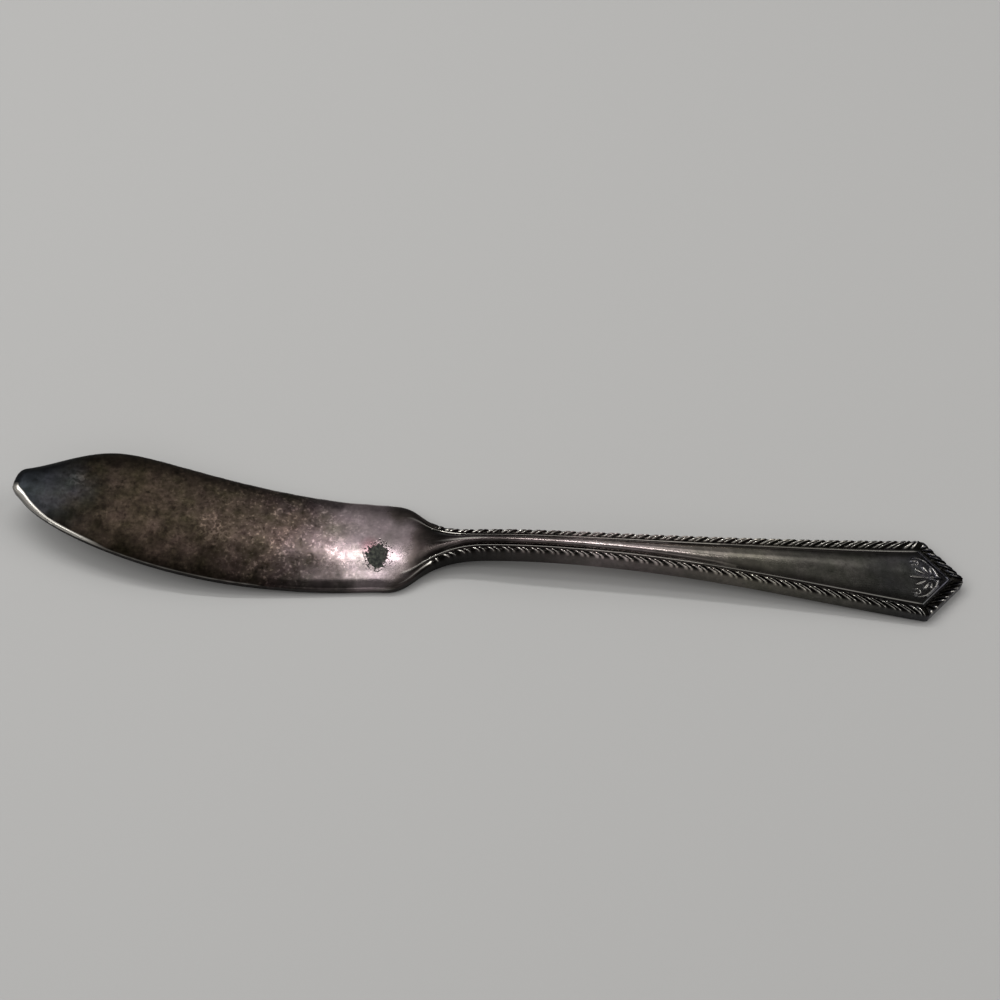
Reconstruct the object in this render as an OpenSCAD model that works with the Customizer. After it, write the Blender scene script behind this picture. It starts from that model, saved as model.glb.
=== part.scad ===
// Butter knife of the serving kind: one struck nickel-silver blank and the silver plated over it.
// It lies pattern side up, blade towards -X, handle towards +X, spine of the blade towards +Y.
// Stations along the knife are measured from the blade's tip, and widths from the handle's axis.

/* [Lengths] */
// Blade, from its tip to its shoulders
blade_l = 71; // [60:1:86]
// Neck, from the shoulders to the slim stem
neck_l = 19; // [15:1:24]
// Handle, from the stem to its point
handle_l = 88; // [72:1:106]
// Depth of the handle's pointed end, to where its edges would meet
point_l = 7.4; // [5.4:0.2:9.4]

/* [Blade] */
// Side of the tip that the outline starts from, above the axis
tip_y = 4.6; // [3.5:0.1:6]
// Length of the blunt nose
nose_l = 1.8; // [1.2:0.1:2.4]
// Height of the nose on the spine, above the axis
nose_y = 8.7; // [7.5:0.1:10]
// Length of the tip's rounding on the cutting edge
chin_l = 2.2; // [1.6:0.1:3]
// End of that rounding, above the axis
chin_y = 1.75; // [1:0.05:2.5]
// Place of the hump on the spine, from the tip
hump_x = 19; // [15:0.5:24]
// Height of the hump above the axis
hump_y = 14.5; // [12:0.1:18]
// Place of the belly on the cutting edge, from the tip
belly_x = 46; // [38:0.5:54]
// Depth of the belly below the axis
belly_y = 10.75; // [8.5:0.05:13]
// Half width at the shoulders
shoulder_y = 9.3; // [7:0.05:11.5]
// Thickness along the middle
blade_t = 2.75; // [2.2:0.05:3.3]
// Height of the wall along the rim
rim_t = 1.5; // [1.2:0.05:1.8]
// Length over which the tip thins
tip_thin = 10; // [6:0.5:14]
// Lift of the rim's wall above the underside
rim_lift = 0.3; // [0.1:0.05:0.5]
// Width of the top that rolls over at the rim
roll_w = 1.9; // [1.2:0.1:2.8]
// Drop of that roll at the rim
roll_h = 0.3; // [0.1:0.05:0.5]

/* [Handle] */
// Width of the slim stem
stem_w = 4.7; // [4:0.1:6]
// Width across the corners of the end
end_w = 16.3; // [13:0.1:20]
// Rounding of the end's point
point_r = 1.2; // [0.4:0.1:2]
// Thickness along the axis at the stem
stem_t = 4.8; // [4:0.1:5.8]
// Thickness along the axis at the end
end_t = 2.5; // [2:0.1:3]
// Thickness over the border at the stem
border_stem_t = 4.35; // [3.5:0.05:5.2]
// Thickness over the border at the end
border_end_t = 2.75; // [2.3:0.05:3.3]
// Bevel round the back
back_bevel = 0.3; // [0.1:0.05:0.5]

/* [Rope border] */
// Strands along each long side
side_strands = 34; // [24:1:40]
// Strands along each edge of the pointed end
end_strands = 4; // [3:1:6]
// Width of the rope at the stem
rope_stem_w = 0.9; // [0.7:0.05:1.1]
// Width of the rope at the end
rope_end_w = 1.75; // [1.4:0.05:2.1]
// Height of the rope over the groove beside it
rope_h = 0.45; // [0.3:0.05:0.6]
// Depth of the cuts between strands
strand_cut = 0.3; // [0.15:0.05:0.45]
// Height of the thread line inside the rope
thread_h = 0.2; // [0.1:0.05:0.3]
// From the shoulders to the first strand
rope_start = 8; // [6.5:0.5:10]

/* [Side profile] */
// Rise of the underside at the blade's tip
tip_rise = 6.4; // [4:0.1:9]
// Rise of the underside at the top of the arch
arch_h = 3.1; // [2:0.1:5]
// Place of the arch's top, from the start of the stem
arch_x = 16; // [10:1:24]
// Length of the flat under the heel
heel_flat = 6; // [4:0.5:9]
// Length of the flat under the handle's end
end_flat = 8; // [6:0.5:11]

/* [Silver plate] */
// Thickness of the plate
plate_t = 0.03; // [0.02:0.005:0.06]
// Reach of the worn spot's ragged edge
spot_r = 1.8; // [1.2:0.1:2.4]
// Share of that reach that the edge falls back between its points
spot_ragged = 0.22; // [0.05:0.01:0.35]
// Place of the worn spot, back from the shoulders
spot_back = 1.6; // [0:0.1:6]
// Place of the worn spot, from the axis
spot_y = -2.8; // [-4:0.1:4]

/* [Hidden] */

knife_l = blade_l + neck_l + handle_l;
stem_x = blade_l + neck_l;
rope_x = blade_l + rope_start;
spot_x = blade_l - spot_back;
box_middle = [knife_l / 2, (hump_y - belly_y) / 2, 0];

// Pointed end: its edges would meet at the sharp point, and the rounding cuts that back.
end_slope = end_w / 2 / point_l;
end_stretch = norm([1, end_slope]);
point_back = end_stretch / end_slope;
sharp_x = knife_l + point_r * (point_back - 1);
corner_x = sharp_x - point_l;
round_share = 1 - point_r / end_slope / norm([point_l, end_w / 2]);

// Curves: a cubic is its two ends and two handles, and a chain of cubics is an outline. A bare number
// in one is the length of a handle, as a share of the stretch that the cubic spans.
function cubic(p, t) =
    (1 - t)^3 * p[0] + 3 * (1 - t)^2 * t * p[1] + 3 * (1 - t) * t^2 * p[2] + t^3 * p[3];
function share_at(p, x, low = 0, high = 1, tries = 30) =
    let (t = (low + high) / 2)
    x <= p[0].x ? 0
    : tries == 0 ? t
    : cubic(p, t).x < x ? share_at(p, x, t, high, tries - 1)
    : share_at(p, x, low, t, tries - 1);
function height(chain, x) =
    let (ahead = [for (p = chain) if (x <= p[3].x) p])
    let (p = len(ahead) > 0 ? ahead[0] : chain[len(chain) - 1])
    cubic(p, share_at(p, x)).y;
function level(a, b, out, back) =
    [a, a + [out * (b.x - a.x), 0], b - [back * (b.x - a.x), 0], b];
function mix(a, b, share) = a + (b - a) * share;
function ramp(from, to, x) =
    let (t = max(0, min(1, (x - from) / (to - from))))
    t * t * (3 - 2 * t);

// Plan outline: the spine's side and the cutting edge's side, each from the tip to the end's corner.
side_run = corner_x - stem_x;
side_spread = (end_w - stem_w) / 2;
side_slope = (0.72 * side_spread) / (0.43 * side_run);
tip = [0, tip_y];
nose = [nose_l, nose_y];
hump = [hump_x, hump_y];
chin = [chin_l, chin_y];
belly = [belly_x, -belly_y];
chin_way = [0.107 * (belly_x - chin_l), -0.412 * (chin_y + belly_y)];
function shoulder(side) = [blade_l, side * shoulder_y];
function stem(side) = [stem_x, side * stem_w / 2];
function corner(side) = [corner_x, side * end_w / 2];
function neck_and_handle(side) = [
    level(shoulder(side), stem(side), 0.37, 0.74),
    [
        stem(side),
        stem(side) + [0.39 * side_run, 0],
        corner(side) - [0.43 * side_run, side * 0.72 * side_spread],
        corner(side),
    ],
];
spine = concat([
    [
        tip,
        tip + [0, 0.5 * (nose_y - tip_y)],
        nose - [0.8 * nose_l, 0.1 * (nose_y - tip_y)],
        nose,
    ],
    [
        nose,
        nose + [0.3 * (hump_x - nose_l), 0.25 * (hump_y - nose_y)],
        hump - [0.4 * (hump_x - nose_l), 0],
        hump,
    ],
    level(hump, shoulder(1), 0.17, 0.56),
], neck_and_handle(1));
edge = concat([
    [tip, tip - [0, 0.42 * (tip_y - chin_y)], chin - 0.19 * chin_way, chin],
    [chin, chin + chin_way, belly - [0.49 * (belly_x - chin_l), 0], belly],
    level(belly, shoulder(-1), 0.57, 0.14),
], neck_and_handle(-1));
function rim(side, x) = height(side > 0 ? spine : edge, x);

// Side profile of the underside: up at the tip, flat at the heel, an arch, flat at the end.
heel_from = [blade_l - heel_flat, 0];
heel_to = [blade_l, 0];
arch_top = [stem_x + arch_x, arch_h];
end_from = [knife_l - end_flat, 0];
under = [
    [[0, tip_rise], [0.46 * heel_from.x, 0.66 * tip_rise], [0.77 * heel_from.x, 0], heel_from],
    level(heel_from, heel_to, 1 / 3, 1 / 3),
    level(heel_to, arch_top, 0.3, 0.57),
    [
        arch_top,
        arch_top + [0.4 * (end_from.x - arch_top.x), 0],
        end_from + [-0.3 * (end_from.x - arch_top.x), 0.1 * arch_h],
        end_from,
    ],
    level(end_from, [knife_l, 0], 1 / 3, 1 / 3),
];

// Mitre at the end's corners: how far a line's corner draws back as the line lies further inside.
side_stretch = norm([1, side_slope]);
corner_back = (end_stretch - side_stretch) / (side_slope + end_slope);
panel_d = end_w / 2 / (side_stretch + side_slope * corner_back);

// Rings round the knife. A ring is its station on the rim, its share of the roped side and its
// share of the end's edge. Each strand of rope takes two rings, and the rounded point takes one more.
function steps(from, to, count) = [for (k = [1:count]) mix(from, to, k / count)];
nose_rings = 4;
hump_rings = 6;
belly_rings = 8;
heel_rings = 5;
spot_half = 2;
neck_rings = 6;
blade_x = concat(
    [for (k = [0:nose_rings]) nose_l * (k / nose_rings)^2],
    steps(nose_l, hump_x, hump_rings),
    steps(hump_x, belly_x, belly_rings),
    steps(belly_x, spot_x - spot_r, heel_rings)
);
neck_x = concat(
    steps(spot_x - spot_r, spot_x + spot_r, 2 * spot_half),
    steps(spot_x + spot_r, rope_x, neck_rings)
);
spot_ring = len(blade_x) - 1 + spot_half;
rings = concat(
    [for (x = concat(blade_x, neck_x)) [x, 0, 0]],
    [for (f = steps(0, 1, 2 * side_strands)) [mix(rope_x, corner_x, f), f, 0]],
    [for (g = steps(0, round_share, 2 * end_strands)) [corner_x, 1, g]],
    [[corner_x, 1, 1]]
);

// Lines along the knife, from the back of one side over the top to the back of the other:
// back, wall foot, wall top, outer crest, inner crest, rope foot, thread, panel foot and axis.
// On the blade they lie at shares of the half width, and on the handle at shares of the rope's width.
axis_line = 8;
line_count = 2 * axis_line + 1;
blade_shares = [0.2, 0, 0, 0.04, 0.1, 0.18, 0.45, 0.72, 1];
rope_shares = [0, 0, 0, 0.3, 0.7, 1, 1.35, 1.7];
function side_of(j) = j < axis_line ? 1 : -1;
function line_of(j) = j < axis_line ? j : 2 * axis_line - j;

// Blade: the top rolls up over the rim and swells to the middle, and the worn spot's lines gather in a star.
rim_top = rim_lift + rim_t;
function middle_y(x) = (rim(1, x) + rim(-1, x)) / 2;
function swell(share) = 1 - (1 - min(1, share))^2;
function roll(gap) = roll_h * max(0, 1 - gap / roll_w)^2;
function blade_h(x, in, half) =
    mix(rim_top, blade_t, swell(in) * swell(x / tip_thin)) - roll(in * abs(half));
function spot_place(di, dj) =
    let (square = max(abs(di), abs(dj)))
    let (between = (abs(di) + abs(dj)) % 2 == 1 && square == spot_half)
    let (reach = spot_r * square / spot_half * (between ? 1 - spot_ragged : 1))
    [spot_x, spot_y] + (square > 0 ? reach * [di, -dj] / norm([di, dj]) : [0, 0]);
function in_spot(i, j) = abs(i - spot_ring) <= spot_half && abs(j - axis_line) <= spot_half;
function blade_place(i, j, inset) =
    let (side = side_of(j), line = line_of(j), x = rings[i].x)
    let (half = rim(side, x) - middle_y(x))
    let (thin = line == 1 || line == 2 ? min(inset, blade_shares[3] / 2 * abs(half)) : 0)
    in_spot(i, j) ? spot_place(i - spot_ring, j - axis_line)
    : [x + inset * max(0, 1 - x / nose_l), rim(side, x) - side * thin - half * blade_shares[line]];
function blade_rise(i, j, place) =
    let (side = side_of(j), line = line_of(j), x = rings[i].x)
    let (half = rim(side, place.x) - middle_y(place.x))
    let (across = (rim(side, place.x) - place.y) / half)
    line == 0 ? 0
    : line == 1 ? rim_lift
    : blade_h(x, in_spot(i, j) ? across : blade_shares[line], half);

// Handle: lines at set distances inside the rim, mitred round the corners of the end.
function rope_w(x) =
    mix(rope_stem_w, rope_end_w, (abs(rim(1, x)) - stem_w / 2) / side_spread);
function line_d(line, x) =
    line == 0 ? back_bevel : line < axis_line ? rope_w(max(x, stem_x)) * rope_shares[line] : panel_d;
function rim_stretch(side, x) =
    let (dx = 0.1, near = min(x, corner_x - dx))
    norm([1, (rim(side, near + dx) - rim(side, near - dx)) / (2 * dx)]);
function inset_rim(ring, side, d) =
    let (x = ring.x - corner_back * d * ring.y)
    [x, rim(side, x) - side * d * rim_stretch(side, x)];
function handle_place(i, j, inset) =
    let (side = side_of(j), line = line_of(j), ring = rings[i])
    let (d = line_d(line, ring.x) + (line == 1 || line == 2 ? inset : 0))
    let (on_side = line < axis_line ? inset_rim(ring, side, d) : [ring.x - corner_back * d * ring.y, 0])
    let (sharp = sharp_x - point_back * d)
    ring.z < 1 ? mix(on_side, [sharp, 0], ring.z) : [min(knife_l - d, sharp), 0];
function handle_rise(i, j) =
    let (line = line_of(j), x = rings[i].x)
    let (along = max(0, (x - stem_x) / side_run)^2.5)
    let (border = mix(border_stem_t, border_end_t, along))
    let (cut = strand_cut * ramp(rope_x, stem_x, x) * ((i + line) % 2))
    [
        0,
        back_bevel,
        border - rope_h,
        border - cut,
        border - cut,
        border - rope_h,
        border - rope_h + thread_h,
        border - rope_h,
        mix(stem_t, end_t, along),
    ][line];

// One point of the knife's skin, at a depth under the finished surface.
function knife_point(i, j, inset) =
    let (line = line_of(j), x = rings[i].x)
    let (on_handle = ramp(spot_x + spot_r, rope_x, x), thick = ramp(blade_l, stem_x, x))
    let (blade = on_handle < 1 ? blade_place(i, j, inset) : [0, 0])
    let (handle = on_handle > 0 ? handle_place(i, j, inset) : [0, 0])
    let (place = mix(blade, handle, on_handle))
    let (rise = thick < 1 ? mix(blade_rise(i, j, place), handle_rise(i, j), thick) : handle_rise(i, j))
    let (sink = line == 0 ? inset : line == 1 ? 0 : -inset)
    [place.x, place.y, height(under, place.x) + rise + sink] - box_middle;
function skin(inset) =
    [for (i = [0:len(rings) - 1]) for (j = [0:line_count - 1]) knife_point(i, j, inset)];

// Triangles between the rings, cut along the strands, without those that close up at the ends.
function at(i, j) = i * line_count + j % line_count;
function is_real(points, f) =
    let (a = points[f[0]], b = points[f[1]], c = points[f[2]])
    norm(a - b) > 0 && norm(b - c) > 0 && norm(c - a) > 0;
function spot_quad(i, j) = in_spot(i, j) && in_spot(i + 1, j + 1);
function faces_of(points, with_spot) = [
    for (i = [0:len(rings) - 2])
        for (j = [0:line_count - 1])
            if (with_spot || !spot_quad(i, j))
                let (a = at(i, j), b = at(i, j + 1), c = at(i + 1, j + 1), d = at(i + 1, j))
                    for (f = j < axis_line ? [[a, d, b], [b, d, c]] : [[a, c, b], [a, d, c]])
                        if (is_real(points, f)) f
];

// Edge of the worn spot, once round its star.
spot_edge = concat(
    [for (k = [-spot_half:spot_half - 1]) at(spot_ring + k, axis_line - spot_half)],
    [for (k = [-spot_half:spot_half - 1]) at(spot_ring + spot_half, axis_line + k)],
    [for (k = [spot_half:-1:1 - spot_half]) at(spot_ring + k, axis_line + spot_half)],
    [for (k = [spot_half:-1:1 - spot_half]) at(spot_ring - spot_half, axis_line + k)]
);

// The blank: blade, neck, stem and handle, blanked and struck from one piece of nickel silver.
module struck_blank() {
    points = skin(plate_t);
    color("#3d4038")
        polyhedron(points, faces_of(points, true));
}

// The silver: a skin over the whole blank, gone where the heel is worn through.
module silver_plate() {
    outer = skin(0);
    inner = skin(plate_t);
    first = len(outer);
    count = len(spot_edge);
    lining = [for (f = faces_of(inner, false)) [f[0] + first, f[2] + first, f[1] + first]];
    worn_edge = [
        for (k = [0:count - 1])
            let (a = spot_edge[k], b = spot_edge[(k + 1) % count])
                for (f = [[a, b, b + first], [a, b + first, a + first]]) f
    ];
    color("#5a534d")
        polyhedron(concat(outer, inner), concat(faces_of(outer, false), lining, worn_edge));
}

struck_blank();
silver_plate();
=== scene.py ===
import math

import bmesh
import bpy
import numpy as np
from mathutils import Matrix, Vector, geometry, noise


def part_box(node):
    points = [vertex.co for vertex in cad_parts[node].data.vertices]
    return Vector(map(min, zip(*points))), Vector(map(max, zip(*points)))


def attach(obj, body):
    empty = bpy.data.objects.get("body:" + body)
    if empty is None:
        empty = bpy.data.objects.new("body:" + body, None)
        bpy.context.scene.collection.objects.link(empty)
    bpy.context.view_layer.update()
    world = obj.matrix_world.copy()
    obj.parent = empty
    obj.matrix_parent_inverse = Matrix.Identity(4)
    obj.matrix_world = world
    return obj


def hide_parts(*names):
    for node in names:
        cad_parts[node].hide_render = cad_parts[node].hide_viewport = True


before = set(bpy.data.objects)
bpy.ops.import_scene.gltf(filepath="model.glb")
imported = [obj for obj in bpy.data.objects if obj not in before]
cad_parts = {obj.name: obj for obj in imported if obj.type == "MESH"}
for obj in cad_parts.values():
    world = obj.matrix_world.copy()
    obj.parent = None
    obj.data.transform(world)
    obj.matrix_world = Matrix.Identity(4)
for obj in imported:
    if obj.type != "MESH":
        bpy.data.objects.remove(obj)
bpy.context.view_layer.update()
bpy.ops.object.select_all(action="DESELECT")

# Struck blank: one piece of nickel silver, blanked to the knife's outline, rolled thin at the blade and
# struck between dies that raise the rope border, the thread line and the palmette on the handle.
# Sizes are in millimetres: stations from the tip, widths from the handle's axis, heights from the table.
mm = 0.001
low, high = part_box("silver_plate")
knife_l = (high.x - low.x) / mm
blade_l = 71
neck_x = blade_l + 1
rope_x = 79
stem_x = 90
tip_y = 4.6
nose_l, nose_y = 1.8, 8.7
chin_l, chin_y = 2.2, 1.75
hump_x, hump_y = 19, 14.5
belly_x, belly_y = 46, 10.75
shoulder_y = 9.3
stem_w, end_w = 4.7, 16.3
point_l, point_r = 7.4, 1.2
axis_y = (belly_y - hump_y) / 2


def mix(a, b, share):
    return a + (b - a) * share


def ramp(start, end, x):
    """0 up to the start, 1 from the end on, and a smooth rise between them."""
    share = min(1, max(0, (x - start) / (end - start)))
    return share * share * (3 - 2 * share)


def change(x, before, after, start, end):
    """A value that is one number before the start, another after the end, and goes smoothly between them."""
    return mix(before, after, ramp(start, end, x))


# Pointed end: where its edges would meet, where its corners are, and how an inset line draws back there.
# Each side of the handle is one curve, whose control points lie at shares of its run and of its spread.
side_out, side_back, side_back_spread = 0.39, 0.43, 0.72
end_slope = end_w / 2 / point_l
end_angle = math.atan(end_slope)
point_back = 1 / math.sin(end_angle)
sharp_x = knife_l + point_r * (point_back - 1)
corner_x = sharp_x - point_l
side_run = corner_x - stem_x
side_spread = (end_w - stem_w) / 2
side_slope = side_back_spread * side_spread / (side_back * side_run)
side_stretch = math.hypot(1, side_slope)
corner_back = (math.hypot(1, end_slope) - side_stretch) / (side_slope + end_slope)
panel_d = end_w / 2 / (side_stretch + side_slope * corner_back)


def outline(*cubics, steps=300):
    """Points along a chain of cubics, each given by its four control points, as lists of x and of y."""
    points = [p for c in cubics for p in geometry.interpolate_bezier(*(Vector((*q, 0)) for q in c), steps)]
    return np.array([p.x for p in points]), np.array([p.y for p in points])


def level(a, b, out, back):
    """A cubic that leaves a and reaches b level, with its inner control points at shares of the run."""
    run = b[0] - a[0]
    return a, (a[0] + out * run, a[1]), (b[0] - back * run, b[1]), b


def neck_and_handle(side):
    """One side from the shoulder to the end's corner: 1 is the spine's, the far one, -1 the edge's."""
    shoulder, stem = (blade_l, side * shoulder_y), (stem_x, side * stem_w / 2)
    corner = (corner_x, side * end_w / 2)
    spread = (stem_x + side_out * side_run, stem[1])
    gather = (corner_x - side_back * side_run, side * (end_w / 2 - side_back_spread * side_spread))
    return level(shoulder, stem, 0.37, 0.74), (stem, spread, gather, corner)


# Outline: the spine with its rounded nose and its hump, and the edge with its chin and belly.
# A control point lies at shares of the run and the rise that its curve covers.
tip, nose, hump = (0, tip_y), (nose_l, nose_y), (hump_x, hump_y)
chin, belly = Vector((chin_l, chin_y)), Vector((belly_x, -belly_y))
chin_run = belly_x - chin_l
chin_way = Vector((0.107 * chin_run, -0.412 * (chin_y + belly_y)))
nose_run, nose_rise = hump_x - nose_l, nose_y - tip_y
spine = outline(
    (tip, (0, tip_y + 0.5 * nose_rise), (0.2 * nose_l, nose_y - 0.1 * nose_rise), nose),
    (nose, (nose_l + 0.3 * nose_run, mix(nose_y, hump_y, 0.25)), (hump_x - 0.4 * nose_run, hump_y), hump),
    level(hump, (blade_l, shoulder_y), 0.17, 0.56),
    *neck_and_handle(1),
)
edge = outline(
    (tip, (0, mix(tip_y, chin_y, 0.42)), chin - 0.19 * chin_way, chin),
    (chin, chin + chin_way, (belly_x - 0.49 * chin_run, -belly_y), belly),
    level(belly, (blade_l, -shoulder_y), 0.57, 0.14),
    *neck_and_handle(-1),
)
# Side profile of the underside: up at the tip, flat at the heel, an arch under the stem, flat at the end.
tip_rise, heel_flat, arch_h, arch_x, end_flat = 6.4, 6, 3.1, 106, 8
heel, rest = (blade_l - heel_flat, 0), (knife_l - end_flat, 0)
arch_run = rest[0] - arch_x
underside = outline(
    ((0, tip_rise), (0.46 * heel[0], 0.66 * tip_rise), (0.77 * heel[0], 0), heel),
    level(heel, (blade_l, 0), 0.3, 0.3),
    level((blade_l, 0), (arch_x, arch_h), 0.3, 0.57),
    ((arch_x, arch_h), (arch_x + 0.4 * arch_run, arch_h), (rest[0] - 0.3 * arch_run, 0.1 * arch_h), rest),
    level(rest, (knife_l, 0), 0.3, 0.3),
)


def rim(side, x):
    """How far from the axis the outline is at a station, on one side."""
    return float(np.interp(x, *(spine if side > 0 else edge)))


def rim_middle(x):
    return (rim(1, x) + rim(-1, x)) / 2


blade_rim = np.hstack((spine, edge)).T
blade_rim = blade_rim[blade_rim[:, 0] < rope_x]


def rim_gap(place):
    """How far a place on the blade lies from the nearest point of its outline."""
    return float(np.hypot(*(blade_rim - place).T).min())


# Rope border: a fat strand and a thin one in turn, which lean towards the end as they run outwards.
# A ring of points is a station, a share of the end's edge and how far the strand there is from a groove.
side_strands, end_strands = 34, 4
rope_stem_w, rope_end_w, rope_h, rope_start = 0.9, 1.75, 0.45, 1.5
strand_cut, strand_notch, strand_lean, lean_start = 0.38, 0.16, 1.7, 1.5
strand_pitch = (corner_x - rope_x) / side_strands
end_edge_l = math.hypot(point_l, end_w / 2)
fat_strand, thin_strand = (0.04, 0.44), (0.48, 0.76)
over_strand = (0, 0.08, 0.25, 0.5, 0.75, 0.92, 1)
turn_of_rope = [
    (mix(*strand, t), 2 * math.sqrt(t - t * t)) for strand in (fat_strand, thin_strand) for t in over_strand
]
nose_rings = 10
plain_runs = [(nose_l, hump_x, 22), (hump_x, belly_x, 34), (belly_x, blade_l, 24), (blade_l, rope_x, 16)]
rings = [(nose_l * (k / nose_rings) ** 2, 0, 1) for k in range(nose_rings)]
rings += [(mix(a, b, k / count), 0, 1) for a, b, count in plain_runs for k in range(count)]
rings += [(rope_x + strand_pitch * (k + t), 0, e) for k in range(side_strands) for t, e in turn_of_rope]
rings += [(corner_x, (k + t) / end_strands, e) for k in range(end_strands) for t, e in turn_of_rope]
rings += [(corner_x, 1, 0)]
# Rows of points round each ring: half of the back, the wall, the rope, the thread line and half of the panel.
# On the blade the same rows gather towards the rim.
rows = [("back", 1), ("back", 0.5), ("back", 0), ("wall", 0), ("wall", 0.8)]
for kind, steps in (("rope", 8), ("thread", 4), ("panel", 8)):
    rows += [(kind, k / steps) for k in range(steps + 1)]
first_top = rows.index(("rope", 0))
round_ring = [(k, 1) for k in range(len(rows))] + [(k, -1) for k in reversed(range(len(rows) - 1))]
row_gather, back_inset = 1.6, 0.2
# Thread line and panel: how far inside the rim they lie and half the line's width, in widths of the rope.
thread_in, thread_half, panel_in = 1.34, 0.12, 1.7
thread_h, back_bevel = 0.2, 0.3


def rope_w(x):
    return mix(rope_stem_w, rope_end_w, (rim(1, max(x, stem_x)) - stem_w / 2) / side_spread)


def along_end(corner, d, side, share):
    """A place at a share of the end's edge, on the line that lies d inside it and rounds the point."""
    sharp = Vector((sharp_x - point_back * d, 0))
    radius = max(point_r - d, 0)
    turn = 1 - radius / math.tan(end_angle) / (sharp - corner).length
    if share < turn or radius == 0:
        return mix(corner, sharp, share)
    angle = (math.pi / 2 - end_angle) * (1 - share) / (1 - turn)
    middle = sharp.x - radius * point_back
    return Vector((middle + radius * math.cos(angle), side * radius * math.sin(angle)))


def drawn_back(x, d):
    """A station moved back, ever more along the border, so that a line d inside ends at its own corner."""
    return x - corner_back * d * min(1, max(0, (x - rope_x) / (corner_x - rope_x)))


def handle_place(x, share, d, side):
    """A place on the handle, d inside the rim at a station, or at a share of the end's edge."""
    x = drawn_back(x, d)
    step = 0.1
    near = min(x, corner_x - step)
    stretch = math.hypot(1, (rim(side, near + step) - rim(side, near - step)) / (2 * step))
    place = Vector((x, rim(side, x) - side * d * stretch))
    return place if share == 0 else along_end(place, d, side, share)


def handle_axis(x, share):
    return mix(Vector((drawn_back(x, panel_d), 0)), Vector((sharp_x - point_back * panel_d, 0)), share)


def handle_point(x, share, kind, v, side, cut):
    """A point on the handle seen from above, in its row inside the rim, slid along as the strands lean."""
    turn = math.pi * v
    width = rope_w(x)
    lean = {
        "back": (1 - v) / 2,
        "wall": 0.5,
        "rope": math.cos(turn) / 2,
        "thread": -0.5,
        "panel": (v - 1) / 2,
    }
    inside = {
        "back": back_bevel,
        "wall": 0,
        "rope": width * (1 - math.cos(turn)) / 2 + strand_notch * cut * (1 - v),
        "thread": width * (thread_in - thread_half * math.cos(turn)),
        "panel": width * panel_in,
    }
    shift = strand_lean * width * lean[kind]
    if share == 0:
        settled = min(x - rope_x, corner_x - x) / strand_pitch
        slid, end_share = x + shift * min(1, max(0, settled / lean_start)), 0
    else:
        settled = min(share, 1 - share) * end_strands
        slid, end_share = x, share + shift / end_edge_l * min(1, settled)
    place = handle_place(slid, end_share, inside[kind], side)
    if kind in ("back", "panel"):
        place = mix(place, handle_axis(slid, end_share), v)
    return place


# Heights over the underside. Four numbers in a row are a value, what it turns into, and from where to where.
# The blade is a dome whose rim rolls down, more so at the chin, and ends in a small round.
blade_t, rim_lift, rim_t, tip_thin = 2.75, 0.3, 1.5, 10
roll_w, roll_h, round_w, round_h = 1.9, 0.3, 0.35, 0.2
chin_roll_w, chin_roll_h, chin_round_w, chin_round_h = 1.6, 0.5, 0.15, 0.1
chin_end = (1, 0, 10, 24)
# The stem's ridge is alike on both sides. Further on it turns into a crown, each side of which falls off by
# its own power, and whose summit drifts towards the far side.
stem_t, end_t, border_stem_t, border_end_t, taper = 4.8, 2.5, 4.35, 2.75, 2.5
ridge_round, crown_start, crown_full = 3.3, 90, 104
far_slope, near_slope, summit_drift = (1.5, 1.75, 125, 135), (5, 1.8, 130, 142), (0, 0.2, 132, 152)


def blade_rise(kind, v, x, part, gap, at_chin):
    if kind == "back":
        return 0
    roll = mix(roll_h, chin_roll_h, at_chin)
    rounding = mix(round_h, chin_round_h, at_chin)
    if kind == "wall":
        return mix(rim_lift, rim_lift + rim_t - roll - rounding, v)
    swell = (1 - (1 - part) ** 2) * (1 - (1 - min(1, x / tip_thin)) ** 2)
    roll *= max(0, 1 - gap / mix(roll_w, chin_roll_w, at_chin)) ** 2
    rounding *= max(0, 1 - gap / mix(round_w, chin_round_w, at_chin)) ** 2
    return mix(rim_lift + rim_t, blade_t, swell) - roll - rounding


def panel_fall(x, v, side):
    """How far the panel has fallen: 0 at its summit, 1 at its border."""
    summit, out = change(x, *summit_drift), side * (1 - v)
    if out > summit:
        crown = ((out - summit) / (1 - summit)) ** change(x, *far_slope)
    else:
        crown = ((summit - out) / (1 + summit)) ** change(x, *near_slope)
    return change(x, (1 - v) ** ridge_round, crown, crown_start, crown_full)


def handle_rise(kind, v, x, side, run, cut):
    floor = mix(border_stem_t, border_end_t, run) - rope_h
    if kind == "panel":
        return mix(mix(stem_t, end_t, run), floor, panel_fall(x, v, side))
    bulge = math.sin(math.pi * v)
    return {
        "back": 0,
        "wall": mix(back_bevel, floor, v),
        "rope": floor + (rope_h - strand_cut * cut) * bulge,
        "thread": floor + thread_h * bulge,
    }[kind]


# Wear and painted light: 0 in grooves that hold soil, 0.5 on plain metal, 1 on crests that are rubbed bright.
# Where noted, low values also paint shade and high values also paint highlight.
# On the blade the wall is darkened as painted shade, less at the chin. A bright line follows the chin, rubbed
# and partly a painted highlight, and a thin rubbed one follows the rim, which is darker along it at the heel.
plain_wear, blade_wall_shade, chin_wall_shade = 0.5, 0.2, 0.45
chin_rub_and_sheen_end, chin_rub_and_sheen_top, chin_rub_and_sheen_gain = (1, 0, 11, 21), (1, 0, tip_y - 0.8, tip_y + 1), 0.5
chin_line_w, chin_line_fade, chin_line_tip, tip_line_end = (1, 0.25, 1, 9), 0.4, (-0.3, 0.5), (2, 9)
rim_rub_gain, rim_rub_w = 0.2, 0.2
rim_dark_gain, rim_dark_w, rim_dark_start, rim_dark_end = 0.35, 0.5, (46, 56), (66, 71)
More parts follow.
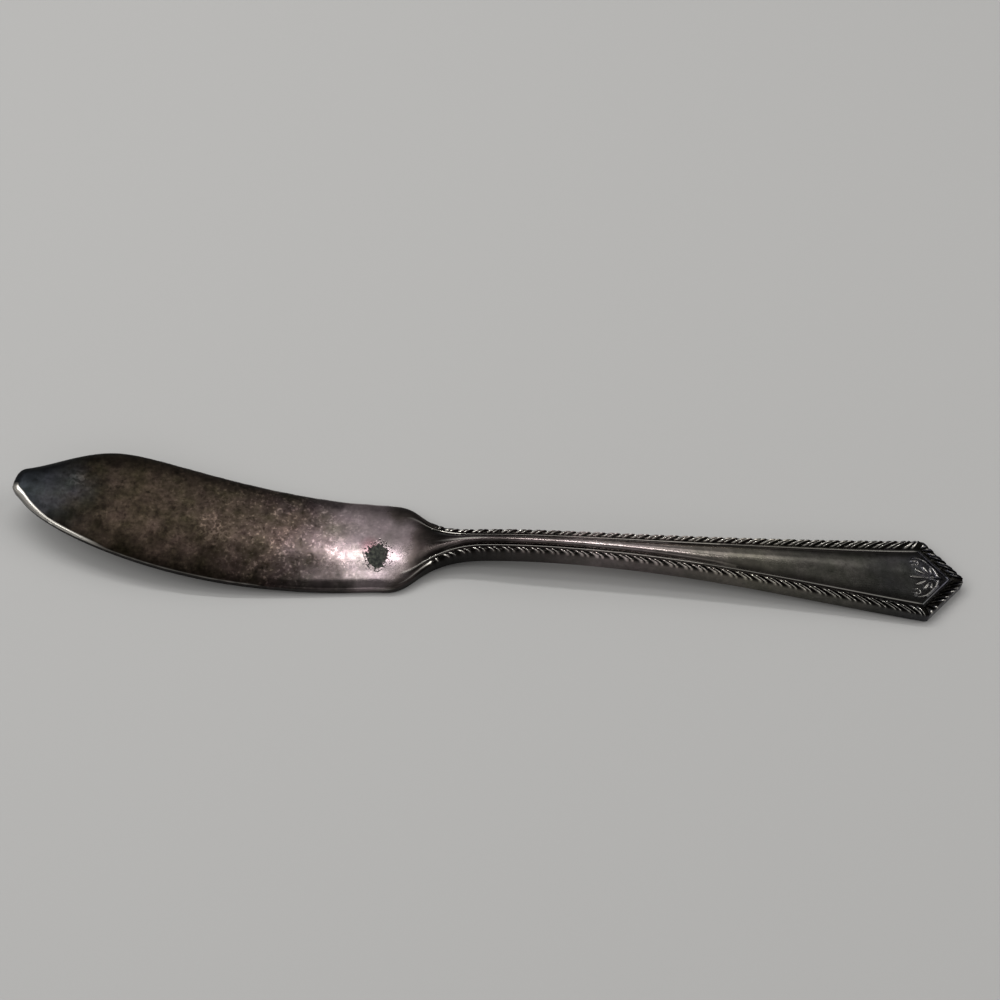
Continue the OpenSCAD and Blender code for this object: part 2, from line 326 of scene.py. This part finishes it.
# On the rope the crests are rubbed, and by side the brightest part lies where the lamps' glints fall, partly
# a painted highlight. v goes across it from the wall, 0, to the thread line, 1.
groove_wear, crest_power, crest_gain = 0.05, {1: 3.5, -1: 6}, {1: 0.95, -1: 0.92}
far_rub_and_sheen_out, far_rub_and_sheen_in, far_neck_rub = (0.75, 1, 0.3, 0.6), (1, 0.1, 0.82, 1), (0.45, 1, 78, 82)
near_rub_and_sheen_out, near_rub_and_sheen_power, first_rub_power, rope_lead = 0.8, 1.3, 8, 1
far_end_rub_and_sheen_at, far_end_rub_and_sheen_w, near_end_rub_and_sheen = 0.52, 0.14, (0.95, 0, 0.2, 0.5)
# The stem's wall is darkened as painted shade. The panel is soiled beside its border, v = 0, but not on its
# ridge, v = 1.
# Near the neck the ridge is rubbed bright, partly a painted highlight, and each side of the panel is darkened
# in its own stretch as painted shade.
stem_wall_shade, end_wall_shade, thread_foot_wear, thread_rub, thread_end_rub = 0.15, 0.44, 0.1, 0.85, 0.5
panel_foot_wear, panel_gain, panel_clear = 0.1, 0.4, 2.5
ridge_rub_and_sheen, ridge_rub_and_sheen_x, ridge_rub_and_sheen_l, ridge_rub_and_sheen_v = 0.3, 86, 5, (0.7, 1)
far_side_shade, far_side_shade_v, near_side_shade, near_side_shade_v = 0.45, (0.65, 0.95), 0.42, (0.8, 1)
near_side_shade_start, panel_end = (95, 110), (140, 152)
# Painted shade: dark bands run along the blade's spine and edge, up to the heel. The edge's one starts weak
# at the tip.
shade_band_end, edge_shade_band_start = (1, 0, 59, 68), (0.35, 1, 15, 45)


def blade_wear_and_light(kind, x, y, gap):
    if kind == "back":
        return plain_wear
    chin_rub_and_sheen = change(x, *chin_rub_and_sheen_end) * change(y, *chin_rub_and_sheen_top)
    # The wall is darkened as painted shade, less so at the chin.
    if kind == "wall":
        return mix(blade_wall_shade, chin_wall_shade, chin_rub_and_sheen)
    # The chin's bright line: a rubbed edge and partly a painted highlight.
    line_w = change(x, *chin_line_w)
    chin_line = 1 - ramp(line_w, line_w + chin_line_fade, gap)
    chin_line *= mix(ramp(*chin_line_tip, gap), 1, ramp(*tip_line_end, x))
    # Along the rim at the heel it is made darker.
    darkening = rim_dark_gain * math.exp(-gap / rim_dark_w) * ramp(*rim_dark_start, x) * (1 - ramp(*rim_dark_end, x))
    rim_line = rim_rub_gain * math.exp(-gap / rim_rub_w) - darkening
    return plain_wear + mix(rim_line, chin_rub_and_sheen_gain * chin_line, chin_rub_and_sheen)


def rope_wear_and_sheen(x, share, v, side, cut):
    bulge = math.sin(math.pi * v)
    # By side the strands are brightest where the lamps' glints fall: rubbed crests and partly a painted
    # highlight.
    if share > 0 and side > 0:
        rub = math.exp(-((v - far_end_rub_and_sheen_at) / far_end_rub_and_sheen_w) ** 2)
    elif share > 0:
        rub = change(v, *near_end_rub_and_sheen)
    else:
        if side > 0:
            rub = change(v, *far_rub_and_sheen_out) * change(v, *far_rub_and_sheen_in)
        else:
            rub = mix(near_rub_and_sheen_out, 1, 2 * v) if v < 0.5 else bulge ** near_rub_and_sheen_power
        first_rub = bulge ** first_rub_power
        rub *= change(x, first_rub, 1, rope_x - rope_lead, rope_x + rope_start) * crest_gain[side]
    far_neck = change(x, *far_neck_rub) if side > 0 else 1
    return groove_wear + (1 - cut) ** crest_power[side] * rub * far_neck


def panel_wear_and_light(x, v, side):
    # Painted shade: each side of the panel is darkened in its own stretch.
    if side > 0:
        side_shade = mix(1, far_side_shade, ramp(*far_side_shade_v, v) * ramp(*panel_end, x))
    else:
        side_shade = mix(near_side_shade, 1, ramp(*near_side_shade_v, v) * (1 - ramp(*panel_end, x)))
        side_shade = mix(1, side_shade, ramp(*near_side_shade_start, x))
    # The ridge near the neck is rubbed bright, partly a painted highlight.
    rub = ridge_rub_and_sheen * math.exp(-((x - ridge_rub_and_sheen_x) / ridge_rub_and_sheen_l) ** 2) * ramp(*ridge_rub_and_sheen_v, v)
    return panel_foot_wear + panel_gain * min(1, panel_clear * v) * side_shade + rub


def handle_wear_and_light(x, share, kind, v, side, run, cut):
    if kind == "rope":
        return rope_wear_and_sheen(x, share, v, side, cut)
    if kind == "panel":
        return panel_wear_and_light(x, v, side)
    rub = thread_rub if share == 0 else thread_end_rub
    # The wall is darkened as painted shade.
    return {
        "back": plain_wear,
        "wall": mix(stem_wall_shade, end_wall_shade, run),
        "thread": thread_foot_wear + rub * math.sin(math.pi * v),
    }[kind]


def knife_point(ring, number, side):
    """A point of the knife's surface, its wear and painted light, and its place across the blade from edge,
    -1, to spine, 1.
    """
    x, share, crest = ring
    kind, v = rows[number]
    cut = (1 - crest) * ramp(rope_x, rope_x + rope_start, x)
    part = ((number - first_top) / (len(rows) - 1 - first_top)) ** row_gather if number > first_top else 0
    part = mix(back_inset, 1, v) if kind == "back" else part
    half = rim(side, x) - rim_middle(x)
    on_blade = Vector((x, rim(side, x) - half * part))
    gap = rim_gap(on_blade)
    handle_share = ramp(neck_x, rope_x, x)
    place = mix(on_blade, handle_point(x, share, kind, v, side, cut), handle_share)
    at_chin = change(x, *chin_end) * (1 - ramp(tip_y, nose_y, on_blade.y))
    run = max(0, (x - stem_x) / side_run) ** taper
    rise = blade_rise(kind, v, x, part, gap, at_chin)
    rise = change(x, rise, handle_rise(kind, v, x, side, run, cut), blade_l, stem_x)
    z = float(np.interp(place.x, *underside)) + rise
    wear_and_light = blade_wear_and_light(kind, x, on_blade.y, gap)
    wear_and_light = mix(wear_and_light, handle_wear_and_light(x, share, kind, v, side, run, cut), handle_share)
    # Painted shade: how strongly the bands along spine and edge show here.
    shade_banded = change(x, *shade_band_end) * (1 if side > 0 else change(x, *edge_shade_band_start))
    return (place.x - knife_l / 2, place.y + axis_y, z), wear_and_light, side * (1 - part) * shade_banded


bpy.ops.mesh.primitive_grid_add(x_subdivisions=len(rings) - 1, y_subdivisions=len(round_ring) - 1)
blank = bpy.context.object
blank.name = "struck_blank_form"
surface = [knife_point(ring, k, side) for k, side in round_ring for ring in rings]
points, wear_and_light, across = zip(*surface)
panel = [rows[k][1] if rows[k][0] == "panel" else -1 for k, side in round_ring for ring in rings]
blank.data.vertices.foreach_set("co", [mm * c for point in points for c in point])
for name, values in (("wear_and_light", wear_and_light), ("across", across), ("panel", panel)):
    blank.data.attributes.new(name, "FLOAT", "POINT").data.foreach_set("value", values)
bpy.ops.object.mode_set(mode="EDIT")
bpy.ops.mesh.select_all(action="SELECT")
bpy.ops.mesh.remove_doubles(threshold=0.002 * mm)
bpy.ops.mesh.normals_make_consistent(inside=False)

# Palmette on the panel's end: petals that fan out towards the blade, a boss, and a scroll on each side.
# A stroke is a list of stations, offsets from the axis and half widths; the panel is cut finer to take it.
palmette_x, palmette_start, boss_r, relief = 172.3, 162, 0.6, 0.18
petals = ((0, 4.2), (28, 3.7), (-28, 3.7), (56, 3), (-56, 3), (82, 2.3), (-82, 2.3))
petal_foot, petal_tip_w, petal_w, petal_lean, petal_steps = 0.8, 0.06, 0.3, 1.6, 24
scroll_x, scroll_y, curl_r, curl_end_r, curl_sweep, curl_steps = 169.4, 3.2, 0.95, 0.2, 430, 40
scroll_stem = ((173.3, 0.4), (172.9, 2.1), (171.3, 4.1), (scroll_x, scroll_y + curl_r))
scroll_w, scroll_end_w = 0.25, 0.18
strokes = [[(palmette_x, 0, boss_r)]]
for angle, length in petals:
    way = Vector((-math.cos(math.radians(angle)), math.sin(math.radians(angle))))
    stroke = []
    for k in range(petal_steps + 1):
        t = k / petal_steps
        p = way * mix(petal_foot, length, t)
        half = petal_tip_w + petal_w * math.sin(math.pi * t ** petal_lean)
        stroke.append((palmette_x + p.x, p.y, half))
    strokes.append(stroke)
for side in (1, -1):
    scroll = list(zip(*outline(scroll_stem)))
    for k in range(1, curl_steps + 1):
        radius = mix(curl_r, curl_end_r, k / curl_steps)
        angle = math.radians(90 + curl_sweep * k / curl_steps)
        scroll.append((scroll_x + radius * math.cos(angle), scroll_y + radius * math.sin(angle)))
    narrow = [mix(scroll_w, scroll_end_w, k / len(scroll)) for k in range(len(scroll))]
    strokes.append([(x, side * y, half) for (x, y), half in zip(scroll, narrow)])
sheet = bmesh.from_edit_mesh(blank.data)
panel_share = sheet.verts.layers.float["panel"]
bpy.ops.mesh.select_all(action="DESELECT")
for e in sheet.edges:
    a, b = e.verts
    near_end = min(a.co.x, b.co.x) > (palmette_start - knife_l / 2) * mm
    e.select = near_end and min(a[panel_share], b[panel_share]) >= 0 and a[panel_share] != b[panel_share]
bmesh.update_edit_mesh(blank.data)
bpy.ops.mesh.subdivide(number_cuts=4)
sheet = bmesh.from_edit_mesh(blank.data)
panel_share = sheet.verts.layers.float["panel"]
wear_and_light_layer = sheet.verts.layers.float["wear_and_light"]
dabs = np.array([dab for stroke in strokes for dab in stroke])
foot_swelling, foot_soil, relief_wear = 0.3, 0.25, 0.74
for v in sheet.verts:
    if v[panel_share] >= 0 and v.co.x > (palmette_start - knife_l / 2) * mm:
        gap = np.hypot(dabs[:, 0] - v.co.x / mm - knife_l / 2, dabs[:, 1] - v.co.y / mm + axis_y)
        swelling = float(np.sqrt(np.maximum(0, 1 - (gap / dabs[:, 2]) ** 2)).max())
        v.co.z += relief * swelling * mm
        darkening = foot_soil if 0 < swelling < foot_swelling else 0
        v[wear_and_light_layer] = max(v[wear_and_light_layer] - darkening, relief_wear * swelling)
bmesh.update_edit_mesh(blank.data)
plate_t = 0.03
bpy.ops.mesh.select_all(action="SELECT")
bpy.ops.transform.shrink_fatten(value=-plate_t * mm)
bpy.ops.object.mode_set(mode="OBJECT")
bpy.ops.object.shade_smooth_by_angle(angle=math.radians(40))
blank.data.attributes.remove(blank.data.attributes["panel"])


def srgb(code):
    """A hex colour as linear red, green, blue and alpha."""
    parts = [int(code[k:k + 2], 16) / 255 for k in (1, 3, 5)]
    return (*(c / 12.92 if c <= 0.04045 else ((c + 0.055) / 1.055) ** 2.4 for c in parts), 1)


def put(tree, kind, values, **settings):
    """Adds a node with its settings, and gives each named input its value or its link."""
    made = tree.nodes.new(kind)
    for name, value in settings.items():
        setattr(made, name, value)
    for name, value in values.items():
        if isinstance(value, bpy.types.NodeSocket):
            tree.links.new(value, made.inputs[name])
        else:
            made.inputs[name].default_value = value
    return made


# Bare nickel silver: a crust of dark, greenish grains with no shine left, where air and damp have got at it.
# The eye finds it as a dark hole in the silver.
crust_grain = 2 / 3
nickel = bpy.data.materials.new("bare_nickel_silver")
nickel.use_nodes = True
tree = nickel.node_tree
place = put(tree, "ShaderNodeTexCoord", {}).outputs["Object"]
crust = {"Vector": place, "Scale": 1 / (crust_grain * mm), "Detail": 4}
crust = put(tree, "ShaderNodeTexNoise", crust).outputs["Fac"]
crust = put(tree, "ShaderNodeMapRange", {"Value": crust, "From Min": 0.4, "From Max": 0.62}).outputs[0]
crust = {"Factor": crust, "A": srgb("#060806"), "B": srgb("#3a3c33")}
crust = put(tree, "ShaderNodeMix", crust, data_type="RGBA").outputs["Result"]
shader = tree.nodes["Principled BSDF"]
tree.links.new(crust, shader.inputs["Base Color"])
shader.inputs["Metallic"].default_value = 0.5
shader.inputs["Roughness"].default_value = 0.6
blank.data.materials.append(nickel)
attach(blank, "root")
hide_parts("struck_blank")

# Silver plate: the thin skin of silver that was plated over the whole blank, worn right through at one spot
# on the heel. It is dark with tarnish, and bright where hands rub it.
spot_x, spot_y, spot_r, spot_tall, spot_margin = blade_l - 1.6, -2.8, 1.8, 1.35, 1.6
spot = Vector(((spot_x - knife_l / 2) * mm, (spot_y + axis_y) * mm))
bpy.ops.object.select_all(action="DESELECT")
blank.select_set(True)
bpy.context.view_layer.objects.active = blank
bpy.ops.object.duplicate()
plate = bpy.context.object
plate.name = "silver_plate_skin"
plate.data.materials.clear()
bpy.ops.object.mode_set(mode="EDIT")
bpy.ops.mesh.select_all(action="SELECT")
bpy.ops.transform.shrink_fatten(value=plate_t * mm)
sheet = bmesh.from_edit_mesh(plate.data)
fine_r, faces_up = (spot_r * spot_tall + spot_margin) * mm, 0.5
for f in sheet.faces:
    f.select = f.normal.z > faces_up and (f.calc_center_median().xy - spot).length < fine_r
bmesh.update_edit_mesh(plate.data)
bpy.ops.mesh.subdivide(number_cuts=7, smoothness=1)
# The spot's edge is ragged, by two grains of noise, and crumbs of it are scattered round, more on one side.
ragged_grain, ragged_in, crumb_grain, crumb_in, crumb_level = 0.6, 0.7, 0.26, 0.5, 7
scatter, scatter_more, crumb_least, crumb_rarer = 0.9, 0.5, 0.2, 0.25
sheet = bmesh.from_edit_mesh(plate.data)
for f in sheet.faces:
    c = f.calc_center_median()
    ragged = noise.noise(Vector((c.x, c.y, 0)) / (ragged_grain * mm))
    crumbs = noise.noise(Vector((c.x, c.y, crumb_level * mm)) / (crumb_grain * mm))
    off = (c.xy - spot) / mm
    worn_gap = math.hypot(off.x, off.y / spot_tall) - spot_r
    hole = worn_gap < ragged_in * ragged + crumb_in * crumbs
    crumb = worn_gap < scatter + scatter_more * (off.x > 0) and crumbs > crumb_least + crumb_rarer * worn_gap
    f.select = f.normal.z > faces_up and (hole or crumb)
bmesh.update_edit_mesh(plate.data)
bpy.ops.mesh.delete(type="FACE")
bpy.ops.object.mode_set(mode="OBJECT")
skin = plate.modifiers.new("skin", "SOLIDIFY")
skin.thickness = plate_t * mm
skin.offset = -1
bpy.ops.object.modifier_apply(modifier="skin")

# Tarnished silver: a metal under a film that dulls and colours it, in soft clouds and sharp small flecks.
# The eye finds satin streaks on the heel, dusty brown on the blade and smoke on the handle.
silver = bpy.data.materials.new("tarnished_silver")
silver.use_nodes = True
tree = silver.node_tree
place = put(tree, "ShaderNodeTexCoord", {}).outputs["Object"]
# Fields of noise, each with its grain in millimetres: clouds and patches of tarnish, grain, flecks and pits.
field = {}
for name, size, detail, seed in (
    ("cloud", 9, 5, 1),
    ("patch", 4, 3, 2),
    ("blotch", 2, 4, 6),
    ("grain", 0.7, 5, 3),
    ("fleck", 0.6, 2, 4),
    ("pit", 0.9, 2, 5),
):
    grain = {"Vector": place, "W": seed, "Scale": 1 / (size * mm), "Detail": detail}
    field[name] = put(tree, "ShaderNodeTexNoise", grain, noise_dimensions="4D").outputs["Fac"]
# Scratches across the blade, and lines along the knife from polishing: size along it, across it, and turn.
for name, size, turn in (("scratch", (0.25, 5), 8), ("rub", (6, 0.22), 0)):
    stretch = (size[0] * mm, size[1] * mm, size[1] * mm)
    turned = {"Vector": place, "Rotation": (0, 0, math.radians(turn)), "Scale": stretch}
    lines = put(tree, "ShaderNodeMapping", turned, vector_type="TEXTURE").outputs[0]
    field[name] = put(tree, "ShaderNodeTexNoise", {"Vector": lines, "Scale": 1, "Detail": 2}).outputs["Fac"]
# Zones along the knife, with edges that wander: bluish at the tip, brown, pink at the heel, smoky further on.
# Each has a place, a colour, a roughness, high where the tarnish is thick, a share of light flecks, and a
# share of all the mottling. Places are from the knife's middle.
# The heel's zones and the stem's from 11 on are lighter, partly as painted highlight for the streaks there.
zone_list = [
    (-88, "#222529", 0.3, 0, 0.6),
    (-80, "#252628", 0.4, 0.1, 0.8),
    (-74, "#25211c", 0.5, 0.2, 1),
    (-63, "#352e28", 0.5, 0.2, 1),
    (-50, "#38312c", 0.46, 0.4, 1),
    (-38, "#423a36", 0.42, 0.9, 1),
    (-33, "#534a4b", 0.36, 1, 0.9),
    (-29.5, "#746a6b", 0.22, 0.6, 0.6),
    (-25, "#857a7d", 0.17, 0.3, 0.4),
    (-18.5, "#786e71", 0.18, 0.2, 0.35),
    (-15, "#484140", 0.3, 0.1, 0.35),
    (-12, "#2f2a29", 0.36, 0.1, 0.35),
    (-6, "#252221", 0.17, 0, 0.35),
    (3, "#423d3c", 0.16, 0, 0.35),
    (11, "#736a69", 0.16, 0, 0.35),
    (20, "#b3a8a8", 0.16, 0, 0.35),
    (27, "#9a8f8f", 0.16, 0, 0.35),
    (38, "#968e8a", 0.18, 0, 0.35),
    (48, "#88847a", 0.2, 0, 0.4),
    (60, "#696762", 0.22, 0, 0.5),
    (73, "#41413f", 0.25, 0.1, 0.5),
    (84, "#36363d", 0.25, 0.1, 0.5),
]
wander = 24
station = put(tree, "ShaderNodeSeparateXYZ", {"Vector": place}).outputs["X"]
zone_x = {0: field["cloud"], 1: wander * mm, 2: station}
zone_x = put(tree, "ShaderNodeMath", zone_x, operation="MULTIPLY_ADD").outputs[0]
zone_x = {"Value": zone_x, "From Min": (wander - knife_l) / 2 * mm, "From Max": (wander + knife_l) / 2 * mm}
zone_x = put(tree, "ShaderNodeMapRange", zone_x).outputs[0]
zones, dullness, flecks, mottle = (put(tree, "ShaderNodeValToRGB", {"Fac": zone_x}) for k in range(4))
for zone_ramp, shade in (
    (zones, lambda zone: srgb(zone[1])),
    (dullness, lambda zone: (zone[2], zone[2], zone[2], 1)),
    (flecks, lambda zone: (zone[3], zone[3], zone[3], 1)),
    (mottle, lambda zone: (zone[4], zone[4], zone[4], 1)),
):
    stops = zone_ramp.color_ramp.elements
    stops.remove(stops[1])
    for zone in zone_list:
        stops.new(zone[0] / knife_l + 0.5).color = shade(zone)
    stops.remove(stops[0])
# Mottling: light flecks, and dark or light tones from the fields, each with its range of noise and of tone.
fleck = {"Value": field["fleck"], "From Min": 0.55, "From Max": 0.68, "To Max": 1.9}
fleck = put(tree, "ShaderNodeMapRange", fleck).outputs[0]
mottling = {0: fleck, 1: flecks.outputs["Color"], 2: 1}
mottling = put(tree, "ShaderNodeMath", mottling, operation="MULTIPLY_ADD").outputs[0]
for name, start, end, first, last in (
    ("blotch", 0.3, 0.7, 0.55, 1.45),
    ("grain", 0.3, 0.7, 0.6, 1.4),
    ("pit", 0.26, 0.42, 0.45, 1),
    ("scratch", 0.68, 0.8, 1, 1.5),
):
    tone = {"Value": field[name], "From Min": start, "From Max": end, "To Min": first, "To Max": last}
    tone = put(tree, "ShaderNodeMapRange", tone).outputs[0]
    mottling = put(tree, "ShaderNodeMath", {0: mottling, 1: tone}, operation="MULTIPLY").outputs[0]
mottling = {"Factor": mottle.outputs["Color"], "A": 1, "B": mottling}
tones = [put(tree, "ShaderNodeMix", mottling, data_type="FLOAT").outputs[0]]
# Painted shade: darker bands along the blade's edge and spine, with borders that stray: a place from edge to
# spine, a tone.
stray = 0.9
across_blade = put(tree, "ShaderNodeAttribute", {}, attribute_name="across").outputs["Fac"]
shade_band_y = {0: field["patch"], 1: stray, 2: across_blade}
shade_band_y = put(tree, "ShaderNodeMath", shade_band_y, operation="MULTIPLY_ADD").outputs[0]
shade_band_y = {"Value": shade_band_y, "From Min": stray / 2 - 1, "From Max": stray / 2 + 1}
shade_bands = put(tree, "ShaderNodeValToRGB", {"Fac": put(tree, "ShaderNodeMapRange", shade_band_y).outputs[0]})
stops = shade_bands.color_ramp.elements
stops.remove(stops[1])
for at, tone in ((0.08, 0.28), (0.26, 0.36), (0.42, 0.92), (0.62, 1.05), (0.78, 1.06), (0.9, 0.44)):
    stops.new(at).color = (tone, tone, tone, 1)
stops.remove(stops[0])
tones.append(shade_bands.outputs["Color"])
# Etched marks: thin light squiggles in two places on the blade, where something bit through the tarnish.
mark_grain, mark_w, mark_gain, mark_z, mark_core = 1.5, 0.045, 0.9, 6, 0.6
squiggle = {"Vector": place, "W": 9, "Scale": 1 / (mark_grain * mm), "Detail": 1}
squiggle = put(tree, "ShaderNodeTexNoise", squiggle, noise_dimensions="4D").outputs["Fac"]
squiggle = put(tree, "ShaderNodeMath", {0: squiggle, 1: 0.5, 2: mark_w}, operation="COMPARE").outputs[0]
for x, y, radius in ((-50.5, -2.2, 4), (-77, 4.8, 3.4)):
    gap = {0: place, 1: (x * mm, y * mm, mark_z * mm)}
    gap = put(tree, "ShaderNodeVectorMath", gap, operation="DISTANCE").outputs["Value"]
    near = {"Value": gap, "From Min": radius * mm, "From Max": mark_core * radius * mm, "To Max": mark_gain}
    mark = {0: put(tree, "ShaderNodeMapRange", near).outputs[0], 1: squiggle, 2: 1}
    tones.append(put(tree, "ShaderNodeMath", mark, operation="MULTIPLY_ADD").outputs[0])
tone = tones[0]
for more in tones[1:]:
    tone = put(tree, "ShaderNodeMath", {0: tone, 1: more}, operation="MULTIPLY").outputs[0]
# Tints: patches of olive and of pink where the mottling is strong, and a red stain beside the worn spot.
# They multiply the colour below, so they are shares of it and not colours of their own.
no_tint, olive, pink, red = (1, 1, 1, 1), (0.74, 0.77, 0.6, 1), (1.3, 1.18, 1.18, 1), (0.85, 0.45, 0.55, 1)
stain_x, stain_y, stain_z, stain_r, stain_core, stain_gain = spot_x - 1.5, spot_y + 2.1, 2.7, 2.4, 0.6, 0.6
tint = {"Value": field["patch"], "From Min": 0.32, "From Max": 0.68}
tint = {"Factor": put(tree, "ShaderNodeMapRange", tint).outputs[0], "A": olive, "B": pink}
tint = put(tree, "ShaderNodeMix", tint, data_type="RGBA").outputs["Result"]
tint = {"Factor": mottle.outputs["Color"], "A": no_tint, "B": tint}
tint = put(tree, "ShaderNodeMix", tint, data_type="RGBA").outputs["Result"]
gap = {0: place, 1: ((stain_x - knife_l / 2) * mm, (stain_y + axis_y) * mm, stain_z * mm)}
gap = put(tree, "ShaderNodeVectorMath", gap, operation="DISTANCE").outputs["Value"]
stain = {"Value": gap, "From Min": stain_r * mm, "From Max": stain_core * mm, "To Max": stain_gain}
stain = {"Factor": put(tree, "ShaderNodeMapRange", stain).outputs[0], "A": no_tint, "B": red}
stain = put(tree, "ShaderNodeMix", stain, data_type="RGBA").outputs["Result"]
tarnish = zones.outputs["Color"]
for more in (tint, stain):
    tarnish = put(tree, "ShaderNodeVectorMath", {0: tarnish, 1: more}, operation="MULTIPLY").outputs[0]
tarnish = put(tree, "ShaderNodeVectorMath", {0: tarnish, "Scale": tone}, operation="SCALE").outputs[0]
# Wear and painted light: soil where it is low, and painted shade on walls and panel sides; tarnish on plain
# metal;
# bright silver on what is rubbed, which in places is also a painted highlight.
wear_and_light_there = put(tree, "ShaderNodeAttribute", {}, attribute_name="wear_and_light").outputs["Fac"]
clean_and_unshaded = put(tree, "ShaderNodeMapRange", {"Value": wear_and_light_there, "From Min": 0.05, "From Max": 0.42}).outputs[0]
polish_and_sheen = put(tree, "ShaderNodeMapRange", {"Value": wear_and_light_there, "From Min": 0.58, "From Max": 1}).outputs[0]
colour = {"Factor": clean_and_unshaded, "A": srgb("#12110f"), "B": tarnish}
colour = put(tree, "ShaderNodeMix", colour, data_type="RGBA").outputs["Result"]
colour = {"Factor": polish_and_sheen, "A": colour, "B": srgb("#dad5cc")}
colour = put(tree, "ShaderNodeMix", colour, data_type="RGBA").outputs["Result"]
shader = tree.nodes["Principled BSDF"]
tree.links.new(colour, shader.inputs["Base Color"])
# Gloss: each zone's roughness, streaked by polishing, smoother where it is rubbed, and a faint unevenness.
streaks = {"Value": field["rub"], "From Min": 0.3, "From Max": 0.7, "To Min": 0.9, "To Max": 1.12}
rough = {0: dullness.outputs["Color"], 1: put(tree, "ShaderNodeMapRange", streaks).outputs[0]}
rough = put(tree, "ShaderNodeMath", rough, operation="MULTIPLY").outputs[0]
rough = put(tree, "ShaderNodeMix", {"Factor": polish_and_sheen, "A": rough, "B": 0.16}, data_type="FLOAT").outputs[0]
tree.links.new(rough, shader.inputs["Roughness"])
uneven = {"Height": field["grain"], "Strength": 0.3, "Distance": 0.015 * mm}
tree.links.new(put(tree, "ShaderNodeBump", uneven).outputs[0], shader.inputs["Normal"])
shader.inputs["Metallic"].default_value = 1
plate.data.materials.append(silver)
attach(plate, "root")
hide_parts("silver_plate")

# Table: a plain board, painted a pale grey with little gloss, that the knife lies on.
# Its top is a hair below the knife's rests.
bpy.ops.mesh.primitive_plane_add(size=3, location=(0, 0, -0.02 * mm))
table = bpy.context.object
table.name = "table"
paint = bpy.data.materials.new("pale_table_paint")
paint.use_nodes = True
shader = paint.node_tree.nodes["Principled BSDF"]
shader.inputs["Base Color"].default_value = srgb("#aeadab")
shader.inputs["Roughness"].default_value = 0.7
table.data.materials.append(paint)

# Light: beyond the far side a wide soft panel, a strip lamp and a broader dim lamp, which draw the streaks on
# heel and panel; a soft panel in front and one at each end; and an even dim room. Places are in metres.
for name, where, aim_x, length, width, watts in (
    ("soft_panel", (-0.05, 0.63, 0.79), -0.05, 1.2, 0.35, 0.78),
    ("strip_lamp", (-0.18, 0.3, 0.65), -0.18, 0.74, 0.03, 1.7),
    ("second_lamp", (-0.1, 0.17, 0.705), -0.1, 0.5, 0.07, 0.5),
    ("front_panel", (-0.1, -0.75, 0.6), -0.1, 1.0, 0.4, 0.75),
    ("left_panel", (-0.66, -0.05, 0.74), 0, 0.9, 0.4, 3.3),
    ("right_panel", (0.72, 0.12, 0.66), 0, 0.5, 0.5, 2.1),
):
    light_data = bpy.data.lights.new(name, "AREA")
    light_data.shape = "RECTANGLE"
    light_data.size = length
    light_data.size_y = width
    light_data.energy = watts
    light = bpy.data.objects.new(name, light_data)
    light.location = where
    light.rotation_mode = "QUATERNION"
    light.rotation_quaternion = (Vector(where) - Vector((aim_x, 0, 0))).to_track_quat("Z", "Y")
    bpy.context.scene.collection.objects.link(light)
room = bpy.data.worlds.new("room")
room.use_nodes = True
room.node_tree.nodes["Background"].inputs["Color"].default_value = (1, 1, 1, 1)
room.node_tree.nodes["Background"].inputs["Strength"].default_value = 0.27
bpy.context.scene.world = room

# Camera: above the near side of the knife and looking down at it, as in the photograph.
camera_pitch, camera_yaw = 56, 4.2
camera_data = bpy.data.cameras.new("camera")
camera_data.lens = 56.84
camera_data.sensor_width = 36
camera = bpy.data.objects.new("camera", camera_data)
camera.location = Vector((14.72, -158.41, 252.27)) * mm
camera.rotation_euler = (math.radians(90 - camera_pitch), 0, math.radians(camera_yaw))
bpy.context.scene.collection.objects.link(camera)
bpy.context.scene.camera = camera
bpy.context.scene.view_settings.view_transform = "Standard"
